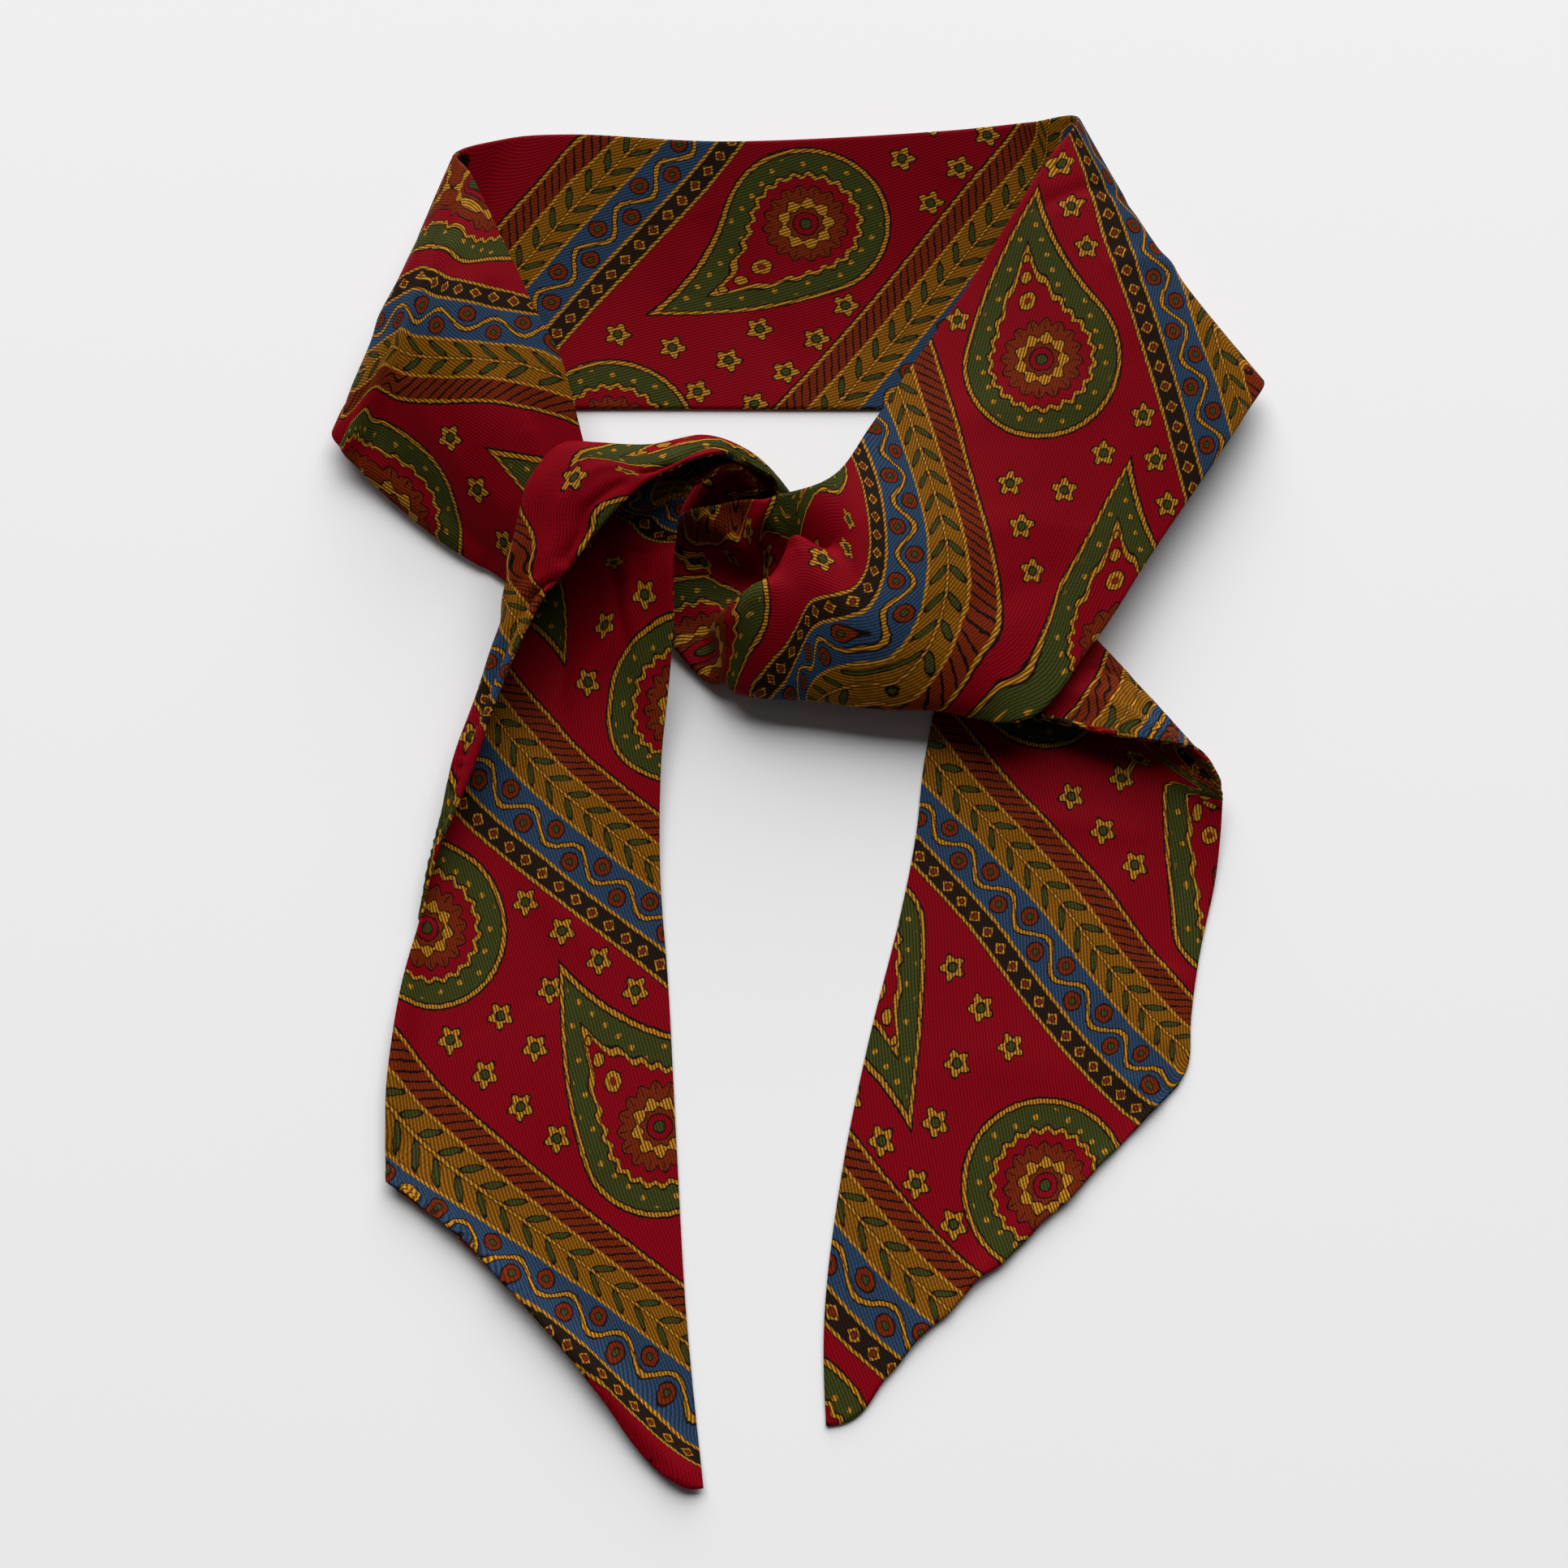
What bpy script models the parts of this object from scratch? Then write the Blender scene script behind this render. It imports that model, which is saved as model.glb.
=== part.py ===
"""A narrow silk scarf band, tied in a half knot round an empty neck loop and laid flat.

Blender 4.5, metres, +Z up. The scarf rests on the plane z = 0, and the origin lies under the
middle of its box. The tables give places in millimetres on the laying-out plan, whose own
origin is LAYOUT_CENTRE away, with x to the right, y to the back and z up.
"""
import math
from collections import namedtuple

import bmesh
import bpy
import numpy as np

MM = 0.001
WALL = 1.2
SEAM_GAP = 0.6
COLUMNS = 13
LAYOUT_CENTRE = (3.2, 2.4)
LIE = WALL / 2
FINE_POINTS = 300
EVEN = 1.0
CENTRIPETAL = 0.5

COLLECTION = "silk_scarf"
CRIMSON = (0.33, 0.012, 0.022, 1.0)
SILK_ROUGHNESS = 0.55

# Each row is one section across the band, drawn smoothly through its named points. A section
# opens the stretch that it names, and the band runs on to the next row in so many slices.

# The pleated end of the right side, from its upper edge over the pleat to its tucked lower edge.
Gather = namedtuple("Gather", "stretch slices upper dip valley crest face lower tuck")
GATHER = (
    Gather("knot_gather", 3, (-24, 51, 9), (-26, 46, 5.5), (-26, 40, 4), (-26, 36, 3.5),
           (-25, 33, 3), (-24, 31, 2.5), (-22, 33, 1.5)),
    Gather("knot_gather", 3, (-19, 55.5, 15), (-19, 48, 8), (-17, 40, 4), (-15.5, 32, 3.5),
           (-15, 27, 4), (-14.8, 21, 3.2), (-10, 28, 1.8)),
    Gather("knot_gather", 3, (-15, 55.5, 16), (-14.5, 49, 9), (-12, 37, 3.6),
           (-13, 31, 13), (-12, 27, 12), (-10.6, 18.6, 6), (-8, 22, 3)),
    Gather("knot_gather", 4, (-8, 55.5, 17.5), (-8, 50, 11), (-3, 38, 4.4), (-6.5, 34.5, 18.5),
           (-6, 27, 17), (-4, 16.5, 7.5), (-2, 20, 3.5)),
    Gather("knot_gather", 3, (1, 56.5, 19), (0.5, 52.5, 16.5), (4, 44, 10), (1.5, 46.5, 20.5),
           (4, 31, 19), (4.5, 15.8, 8.5), (8, 19, 4.5)),
    Gather("knot_gather", 4, (10.5, 61, 18), (12, 55, 18), (12.5, 49, 17), (14, 43, 20),
           (17, 27, 18.5), (22.5, 13.5, 9), (25, 17, 5.5)),
)

# The neck loop, from its edge inside the loop over its ridge to its outer edge.
Loop = namedtuple("Loop", "stretch slices inner ridge outer")
LOOP = (
    Loop("right_side", 4, (18, 72.5, 17), (30, 43, 19.5), (47.5, 9, 12.5)),
    Loop("right_side", 3, (27.5, 87.5, 17), (45, 56, 17.5), (63, 26.5, 11.5)),
    Loop("right_side", 3, (38, 103, 18), (58, 73, 17), (76, 47, 10)),
    Loop("right_fold", 4, (55, 131, 21.5), (76, 103, 16.5), (97, 79, 8.5)),
    Loop("right_fold", 4, (62.5, 143.5, 19.5), (78.3, 116, 14), (101.5, 88, 5)),
    Loop("back_band", 3, (53, 144.5, 16), (70, 116, 6.5), (91, 84, LIE)),
    Loop("back_band", 3, (35, 143, 15), (50, 114, 6), (64, 84, LIE)),
    Loop("back_band", 3, (-12, 141, 14), (-4, 112, 5), (5, 84, LIE)),
    Loop("back_band", 3, (-46, 143, 13.5), (-48, 113, 5), (-49, 84, LIE)),
    Loop("left_fold", 4, (-61, 142, 13), (-73, 113, 5), (-86, 83, LIE)),
    Loop("left_fold", 4, (-70, 137, 16), (-84, 103, 10), (-95, 77, 4)),
    Loop("left_side", 3, (-66, 129, 20), (-79, 97, 18), (-93, 72.5, 5)),
    Loop("left_side", 3, (-59, 114, 19), (-73, 97, 21), (-88, 68, 2.5)),
    Loop("left_side", 3, (-53, 101, 17), (-68, 87, 20), (-82, 62.5, 1.5)),
    Loop("left_side", 3, (-47, 90, 14), (-62, 72, 16.5), (-72, 54, 1)),
    Loop("left_side", 3, (-44, 80, 11), (-57, 60, 11.5), (-62, 47, 1)),
    Loop("left_side", 3, (-41, 69, 7.5), (-50, 53, 7.5), (-51, 40, 1)),
    Loop("left_side", 0, (-38, 61, 4.5), (-43, 49, 4.5), (-42, 38, 1)),
)

# The left tail and the strand that rises to it out of the knot, from its right edge through its
# hollow front to the folded border, and over that to its free edge, which lies on the front.
Tail = namedtuple("Tail", "stretch slices right hollow border fold free")
TAIL = (
    Tail("left_tail", 3, (-15.2, -140.6, LIE), (-20.5, -140.2, LIE), (-41, -116.5, LIE),
         (-60, -96.3, LIE), (-77.5, -82.5, LIE)),
    Tail("left_tail", 3, (-18.8, -108, LIE), (-35, -99, LIE), (-50, -90, LIE), (-64, -81, LIE),
         (-78, -73, LIE)),
    Tail("left_tail", 3, (-21, -76, LIE), (-35, -72, LIE), (-50, -68, LIE), (-64, -64, LIE),
         (-78, -60, LIE)),
    Tail("left_tail", 3, (-23, -44, LIE), (-36, -43, LIE), (-50, -42, LIE), (-63, -41, LIE),
         (-75.4, -39, 0.8)),
    Tail("left_tail", 4, (-25, -19, 1.6), (-45, -18, 0.8), (-67, -18, 1.5), (-71.4, -17, 4),
         (-69.5, -17, 6)),
    Tail("left_tail", 4, (-25, 3, 4), (-54, 1, 1), (-64.5, 1, 3), (-67, 1, 7), (-62.5, 0, 10)),
    Tail("knot_wrap", 4, (-23.5, 19, 7.5), (-48, 18, 1.5), (-59.5, 17.5, 4), (-61.8, 17, 9),
         (-57, 16, 14)),
    Tail("knot_wrap", 3, (-22.5, 31.5, 11.5), (-45, 31, 4), (-55.5, 30, 6), (-58.3, 28, 12),
         (-52, 27, 17)),
    Tail("knot_wrap", 3, (-22.5, 42.5, 15), (-41, 40, 7), (-53, 39, 9), (-56.9, 36.5, 14),
         (-47, 36, 19)),
    Tail("knot_wrap", 3, (-22, 48, 15.5), (-38, 45, 10), (-50, 45, 11), (-56, 43, 16),
         (-42, 41, 21)),
    Tail("knot_wrap", 3, (-21, 53, 18.5), (-35, 50, 12), (-48, 53, 13), (-54, 50, 18),
         (-37, 47, 23)),
    Tail("knot_wrap", 3, (-19, 56, 20.5), (-32, 54, 14), (-45, 59, 14.5), (-52, 58, 20),
         (-33, 51, 25)),
    Tail("knot_wrap", 3, (-17, 57.5, 22.5), (-28, 55.5, 17), (-39, 62.5, 16), (-46, 65.5, 21),
         (-28, 55, 27)),
    Tail("knot_wrap", 3, (-15, 58.5, 23), (-24, 58, 19), (-32, 63.5, 18), (-38, 65.5, 22),
         (-24, 57, 28)),
    Tail("knot_wrap", 3, (-13, 60, 24), (-19, 59.5, 20), (-24, 63.8, 19), (-27, 64.8, 23),
         (-19, 59, 29)),
    Tail("knot_wrap", 3, (-10, 61, 23), (-14, 61.5, 20), (-16, 65.2, 18), (-16.5, 67.3, 22),
         (-13, 61, 28)),
    Tail("knot_wrap", 3, (-7, 60.5, 19), (-9, 62, 16.5), (-8.5, 64, 15), (-7.3, 65.5, 18),
         (-8, 62, 23)),
    Tail("knot_wrap", 3, (-5, 59.5, 14), (-3.5, 60.8, 11.5), (-2, 61.8, 11.5), (-0.8, 61.2, 13),
         (-2, 60, 16)),
    Tail("knot_wrap", 2, (-7, 57, 10), (-4, 57, 7.5), (0, 58, 7), (3, 57, 8), (-2, 56, 11)),
    Tail("knot_wrap", 0, (-7, 53, 8), (-4, 52.5, 6.5), (0, 53, 6.5), (3, 53, 7), (-2, 52, 9)),
)

# The right tail, its turn under itself and the flare that comes out of the knot, from the edge
# that is on the left in the tail to the edge that is on the right.
Turn = namedtuple("Turn", "stretch slices left near middle far right")
RIGHT_TAIL = (
    Turn("right_tail", 3, (8, -129, LIE), (13.5, -127.5, LIE), (26, -113, LIE),
         (52, -89, LIE), (78, -62.5, LIE)),
    Turn("right_tail", 3, (7.8, -108, LIE), (14, -104, LIE), (32, -91, LIE),
         (56, -74.5, LIE), (80.2, -58, LIE)),
    Turn("right_tail", 3, (11.2, -81, LIE), (18, -78, LIE), (35, -70, LIE),
         (58, -59.5, LIE), (81, -49, LIE)),
    Turn("right_tail", 3, (16.8, -54, LIE), (24, -52.2, LIE), (40, -48, LIE),
         (62, -42, LIE), (83.3, -36, LIE)),
    Turn("right_tail", 3, (23.4, -28, LIE), (31, -27.3, LIE), (45, -26, LIE),
         (66, -24, LIE), (87, -21, 1)),
    Turn("right_turn", 3, (26.8, -11, LIE), (34, -11, LIE), (48, -11, LIE),
         (70, -11, 0.8), (88.3, -12, 2.4)),
    Turn("right_turn", 3, (28.8, 5, LIE), (36, 4.5, LIE), (49, 3, LIE),
         (70, 0, 0.8), (88.6, -7.5, 3.8)),
    Turn("right_turn", 3, (33, 27, LIE), (39, 23.5, LIE), (52, 16, LIE),
         (70, 5, 1), (88.6, -5.5, 5)),
    Turn("right_turn", 3, (37, 50, LIE), (42, 43.5, LIE), (52, 31, LIE),
         (70, 11, 1.8), (88.3, -3.5, 6.5)),
    Turn("right_turn", 3, (41, 58, 3), (49, 48, 3.4), (62.5, 32, 4),
         (78, 12, 6), (87.6, -1.5, 8)),
    Turn("right_turn", 3, (31, 55, 5), (37, 46, 5.4), (52, 26, 6.5),
         (68, 14, 8.5), (82.8, 3.8, 10.5)),
    Turn("right_turn", 3, (23, 53, 5), (27, 45, 5), (36, 31, 5.5),
         (51, 14, 7), (68, 7.3, 9)),
    Turn("right_turn", 0, (16, 50, 5), (18, 45.5, 5), (23, 37, 5.5),
         (33, 22, 6), (47, 14, 7)),
)

# The layers inside the knot, as rings from its left end to its right end. They rise at the back.
Core = namedtuple("Core", "x y half_width height rise")
CORE = (
    Core(-43.5, 51.5, 5, 4.2, 0),
    Core(-38, 49, 6, 2.8, 0),
    Core(-28, 46, 10, 2.2, 0),
    Core(-18, 53.5, 17, 2.6, 12),
    Core(-10.5, 53, 15, 2.8, 9),
    Core(-2, 49.7, 7.8, 3, 0),
    Core(8, 41, 11, 12, 0),
    Core(23, 35.5, 6.5, 6, 0),
)
RING_POINTS = 10
CORE_BULGE = 1.15


def remove_all_objects():
    for thing in list(bpy.data.objects):
        bpy.data.objects.remove(thing)


def silk(name):
    """A plain crimson silk for one stretch."""
    material = bpy.data.materials.new(name)
    material.use_nodes = True
    shader = material.node_tree.nodes["Principled BSDF"]
    shader.inputs["Base Color"].default_value = CRIMSON
    shader.inputs["Roughness"].default_value = SILK_ROUGHNESS
    shader.inputs["Metallic"].default_value = 0.0
    return material


def spread(points, power=CENTRIPETAL):
    """Curve parameters for points, from the distances between them."""
    steps = np.linalg.norm(np.diff(points, axis=0), axis=-1)
    while steps.ndim > 1:
        steps = steps.mean(axis=1)
    return np.concatenate([[0.0], np.cumsum(steps ** power)])


def smooth(points, knots, at):
    """A smooth curve through points at knots, read at the parameters at."""
    lead = (-1,) + (1,) * (points.ndim - 1)
    width = np.diff(knots).reshape(lead)
    slope = np.diff(points, axis=0) / width
    tangent = np.empty_like(points)
    tangent[1:-1] = (slope[:-1] * width[1:] + slope[1:] * width[:-1]) / (width[1:] + width[:-1])
    tangent[0] = 1.5 * slope[0] - 0.5 * tangent[1]
    tangent[-1] = 1.5 * slope[-1] - 0.5 * tangent[-2]
    k = np.clip(np.searchsorted(knots, at, side="right") - 1, 0, len(knots) - 2)
    w = width[k]
    u = ((at - knots[k]) / np.diff(knots)[k]).reshape(lead)
    start = (2 * u**3 - 3 * u**2 + 1) * points[k] + (u**3 - 2 * u**2 + u) * w * tangent[k]
    end = (3 * u**2 - 2 * u**3) * points[k + 1] + (u**3 - u**2) * w * tangent[k + 1]
    return start + end


def section(points, columns):
    """Evenly spaced points along the smooth curve through a section's named points."""
    points = np.array(points, float)
    knots = spread(points)
    fine = smooth(points, knots, np.linspace(0, knots[-1], FINE_POINTS))
    run = spread(fine, EVEN)
    want = np.linspace(0, run[-1], columns)
    return np.stack([np.interp(want, run, fine[:, axis]) for axis in range(3)], axis=-1)


def strip(table, columns=COLUMNS):
    """Each stretch of a table as a grid of points, short of its neighbours by half a gap."""
    rows = np.array([section(row[2:], columns) for row in table])
    knots = spread(rows)
    stretches = {}
    for number, row in enumerate(table[:-1]):
        at = np.linspace(knots[number], knots[number + 1], row.slices + 1)
        slices = smooth(rows, knots, at)
        if row.stretch in stretches:
            stretches[row.stretch] = np.concatenate([stretches[row.stretch], slices[1:]])
        else:
            stretches[row.stretch] = slices
    for grid in stretches.values():
        grid[..., 2] = np.maximum(grid[..., 2], LIE)
        for end, inside in ((0, 1), (-1, -2)):
            inward = grid[inside] - grid[end]
            reach = np.linalg.norm(inward, axis=1, keepdims=True)
            grid[end] += inward / reach * SEAM_GAP / 2
    return stretches


def to_world(point):
    return ((point[0] - LAYOUT_CENTRE[0]) * MM, (point[1] - LAYOUT_CENTRE[1]) * MM, point[2] * MM)


def place(name, mesh, collection):
    thing = bpy.data.objects.new(name, mesh)
    collection.objects.link(thing)
    thing.data.materials.append(silk(name))
    mesh.shade_smooth()
    return thing


def cloth(name, grid, collection):
    """One stretch of the band: an open surface with its wall added by Solidify."""
    count, columns = grid.shape[:2]
    corners = [to_world(point) for point in grid.reshape(-1, 3)]
    faces = []
    for row in range(count - 1):
        for column in range(columns - 1):
            first = row * columns + column
            faces.append((first, first + 1, first + columns + 1, first + columns))
    mesh = bpy.data.meshes.new(name)
    mesh.from_pydata(corners, [], faces)
    thing = place(name, mesh, collection)
    wall = thing.modifiers.new("wall", "SOLIDIFY")
    wall.thickness = WALL * MM
    wall.offset = 0.0
    return thing


def core(name, collection):
    """The bundle inside the knot: rings with a flat underside, capped and rounded."""
    shape = bmesh.new()
    rings = []
    for ring in CORE:
        middle = ring.height / 2
        points = []
        for number in range(RING_POINTS):
            angle = 2 * math.pi * number / RING_POINTS
            y = ring.y + ring.half_width * math.cos(angle)
            z = max(0.0, middle + middle * CORE_BULGE * math.sin(angle))
            if angle < math.pi / 2:
                z += ring.rise * math.sin(2 * angle)
            points.append(shape.verts.new(to_world((ring.x, y, z))))
        rings.append(points)
    for ring, following in zip(rings, rings[1:]):
        for number in range(RING_POINTS):
            beside = (number + 1) % RING_POINTS
            shape.faces.new((ring[number], ring[beside], following[beside], following[number]))
    shape.faces.new(rings[0])
    shape.faces.new(rings[-1])
    bmesh.ops.recalc_face_normals(shape, faces=shape.faces)
    mesh = bpy.data.meshes.new(name)
    shape.to_mesh(mesh)
    shape.free()
    thing = place(name, mesh, collection)
    rounding = thing.modifiers.new("rounding", "SUBSURF")
    rounding.levels = 1
    rounding.render_levels = 1
    return thing


def main():
    remove_all_objects()
    collection = bpy.data.collections.new(COLLECTION)
    bpy.context.scene.collection.children.link(collection)
    for table in (GATHER + LOOP, TAIL, RIGHT_TAIL):
        for name, grid in strip(table).items():
            cloth(name, grid, collection)
    core("knot_core", collection)


main()
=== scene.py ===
"""A narrow printed silk scarf band, tied in a half knot round an empty neck loop and laid flat.

The band is one long strip that shows in three strands: the neck loop with its pleated end at the
knot, the left tail with the strand that rises to it out of the knot, and the right tail with its
turn. Each strand is a thin shell on its solids' form. The tables give places in millimetres on
the laying-out plan, whose own origin is LAYOUT_CENTRE away from the frame's.
"""
import math
from collections import namedtuple

import bpy
import numpy as np
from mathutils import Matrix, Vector


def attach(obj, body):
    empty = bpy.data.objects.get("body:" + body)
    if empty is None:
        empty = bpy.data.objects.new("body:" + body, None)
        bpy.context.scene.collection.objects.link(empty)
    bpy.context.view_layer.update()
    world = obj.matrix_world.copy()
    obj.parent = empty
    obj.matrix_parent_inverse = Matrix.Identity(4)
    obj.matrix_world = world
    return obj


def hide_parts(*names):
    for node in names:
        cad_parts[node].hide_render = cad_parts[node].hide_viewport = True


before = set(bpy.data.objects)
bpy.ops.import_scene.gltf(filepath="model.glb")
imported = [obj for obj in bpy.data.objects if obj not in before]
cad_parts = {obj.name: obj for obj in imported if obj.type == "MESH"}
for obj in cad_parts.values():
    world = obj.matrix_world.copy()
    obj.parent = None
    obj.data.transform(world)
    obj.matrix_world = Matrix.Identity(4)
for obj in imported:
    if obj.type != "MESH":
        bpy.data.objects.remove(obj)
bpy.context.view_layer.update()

bl_info = {
    "name": "Silk scarf",
    "version": (1, 0, 0),
    "blender": (4, 5, 0),
    "location": "3D View > Sidebar > Silk scarf",
    "description": "A printed silk scarf band, tied in a half knot and laid flat",
    "category": "Object",
}

MM = 0.001
LAYOUT_CENTRE = (3.2, 2.4)
# The height of the middle surface of cloth that lies flat.
LIE = 0.6

# In the tables of strands, each row is one section across the band, drawn smoothly through its
# named points. Its stretch names the CAD's solid that it belongs to.

# The pleated end of the right side, from its upper edge over the pleat to its tucked lower edge.
Gather = namedtuple("Gather", "stretch upper dip valley crest face lower tuck")
GATHER = (
    Gather("knot_gather", (-24, 51, 9), (-26, 46, 5.5), (-26, 40, 4), (-26, 36, 3.5),
           (-25, 33, 3), (-24, 31, 2.5), (-22, 33, 1.5)),
    Gather("knot_gather", (-19, 55.5, 15), (-19, 48, 8), (-17, 40, 4), (-15.5, 32, 3.5),
           (-15, 27, 4), (-14.8, 21, 3.2), (-10, 28, 1.8)),
    Gather("knot_gather", (-15, 55.5, 16), (-14.5, 49, 9), (-12, 37, 3.6),
           (-13, 31, 13), (-12, 27, 12), (-10.6, 18.6, 6), (-8, 22, 3)),
    Gather("knot_gather", (-8, 55.5, 17.5), (-8, 50, 11), (-3, 38, 4.4), (-6.5, 34.5, 18.5),
           (-6, 27, 17), (-4, 16.5, 7.5), (-2, 20, 3.5)),
    Gather("knot_gather", (1, 56.5, 19), (0.5, 52.5, 16.5), (4, 44, 10), (1.5, 46.5, 20.5),
           (4, 31, 19), (4.5, 15.8, 8.5), (8, 19, 4.5)),
    Gather("knot_gather", (10.5, 61, 18), (12, 55.5, 19), (13, 50, 19.6), (14.5, 43, 20),
           (17, 27, 18.5), (22.5, 13.5, 9), (25, 17, 5.5)),
)

# The neck loop, from its edge inside the loop over its ridge to its outer edge.
Loop = namedtuple("Loop", "stretch inner ridge outer")
LOOP = (
    Loop("right_side", (18, 72.5, 17), (30, 43, 19.5), (47.5, 9, 12.5)),
    Loop("right_side", (27.5, 87.5, 17), (45, 56, 17.5), (63, 26.5, 11.5)),
    Loop("right_side", (38, 103, 18), (58, 73, 17), (76, 47, 10)),
    Loop("right_fold", (55, 131, 21.5), (76, 103, 16.5), (97, 79, 8.5)),
    Loop("right_fold", (62.5, 143.5, 19.5), (78.3, 116, 14), (101.5, 88, 5)),
    Loop("back_band", (53, 144.5, 16), (70, 116, 6.5), (91, 84, LIE)),
    Loop("back_band", (35, 143, 15), (50, 114, 6), (64, 84, LIE)),
    Loop("back_band", (-12, 141, 14), (-4, 112, 5), (5, 84, LIE)),
    Loop("back_band", (-46, 143, 13.5), (-48, 113, 5), (-49, 84, LIE)),
    Loop("left_fold", (-61, 142, 13), (-73, 113, 5), (-86, 83, LIE)),
    Loop("left_fold", (-70, 137, 16), (-84, 103, 10), (-95, 77, 4)),
    Loop("left_side", (-66, 129, 20), (-79, 97, 18), (-93, 72.5, 5)),
    Loop("left_side", (-59, 114, 19), (-73, 97, 21), (-88, 68, 2.5)),
    Loop("left_side", (-53, 101, 17), (-68, 87, 20), (-82, 62.5, 1.5)),
    Loop("left_side", (-47, 90, 14), (-62, 72, 16.5), (-72, 54, 1)),
    Loop("left_side", (-44, 80, 11), (-57, 60, 11.5), (-62, 47, 1)),
    Loop("left_side", (-41, 69, 7.5), (-50, 53, 7.5), (-51, 40, 1)),
    Loop("left_side", (-38, 61, 4.5), (-43, 49, 4.5), (-42, 38, 1)),
)

# The left tail and the strand that rises to it out of the knot, from its right edge through its
# hollow front to the folded border, and over that to its free edge, which lies on the front.
Tail = namedtuple("Tail", "stretch right hollow border fold free")
TAIL = (
    Tail("left_tail", (-15.2, -140.6, LIE), (-20.5, -140.2, LIE), (-41, -116.5, LIE),
         (-60, -96.3, LIE), (-77.5, -82.5, LIE)),
    Tail("left_tail", (-18.8, -108, LIE), (-35, -99, LIE), (-50, -90, LIE), (-64, -81, LIE),
         (-78, -73, LIE)),
    Tail("left_tail", (-21, -76, LIE), (-35, -72, LIE), (-50, -68, LIE), (-64, -64, LIE),
         (-78, -60, LIE)),
    Tail("left_tail", (-23, -44, LIE), (-36, -43, LIE), (-50, -42, LIE), (-63, -41, LIE),
         (-75.4, -39, 0.8)),
    Tail("left_tail", (-25, -19, 1.6), (-45, -18, 0.8), (-67, -18, 1.5), (-71.4, -17, 4),
         (-69.5, -17, 6)),
    Tail("left_tail", (-25, 3, 4), (-54, 1, 1), (-64.5, 1, 3), (-67, 1, 7), (-62.5, 0, 10)),
    Tail("knot_wrap", (-23.5, 19, 7.5), (-48, 18, 1.5), (-59.5, 17.5, 4), (-61.8, 17, 9),
         (-57, 16, 14)),
    Tail("knot_wrap", (-22.5, 31.5, 11.5), (-45, 31, 4), (-55.5, 30, 6), (-58.3, 28, 12),
         (-52, 27, 17)),
    Tail("knot_wrap", (-22.5, 42.5, 15), (-41, 40, 7), (-53, 39, 9), (-56.9, 36.5, 14),
         (-47, 36, 19)),
    Tail("knot_wrap", (-22, 48, 15.5), (-38, 45, 10), (-50, 45, 11), (-56, 43, 16),
         (-42, 41, 21)),
    Tail("knot_wrap", (-21, 53, 18.5), (-35, 50, 12), (-48, 53, 13), (-54, 50, 18),
         (-37, 47, 23)),
    Tail("knot_wrap", (-19, 56, 20.5), (-32, 54, 14), (-45, 59, 14.5), (-52, 58, 20),
         (-33, 51, 25)),
    Tail("knot_wrap", (-17, 57.5, 22.5), (-28, 55.5, 17), (-39, 62.5, 16), (-46, 65.5, 21),
         (-28, 55, 27)),
    Tail("knot_wrap", (-15, 58.5, 23), (-24, 58, 19), (-32, 63.5, 18), (-38, 65.5, 22),
         (-24, 57, 28)),
    Tail("knot_wrap", (-13, 60, 24), (-19, 59.5, 20), (-24, 63.8, 19), (-27, 64.8, 23),
         (-19, 59, 29)),
    Tail("knot_wrap", (-10, 61, 23), (-14, 61.5, 20), (-16, 65.2, 18), (-16.5, 67.3, 22),
         (-13, 61, 28)),
    Tail("knot_wrap", (-7, 60.5, 19), (-9, 62, 16.5), (-8.5, 64, 15), (-7.3, 65.5, 18),
         (-8, 62, 23)),
    Tail("knot_wrap", (-5, 59.5, 14), (-3.5, 60.8, 11.5), (-2, 61.8, 11.5), (-0.8, 61.2, 13),
         (-2, 60, 16)),
    Tail("knot_wrap", (-7, 57, 10), (-4, 57, 7.5), (0, 58, 7), (3, 57, 8), (-2, 56, 11)),
    Tail("knot_wrap", (-7, 53, 8), (-4, 52.5, 6.5), (0, 53, 6.5), (3, 53, 7), (-2, 52, 9)),
)

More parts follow.
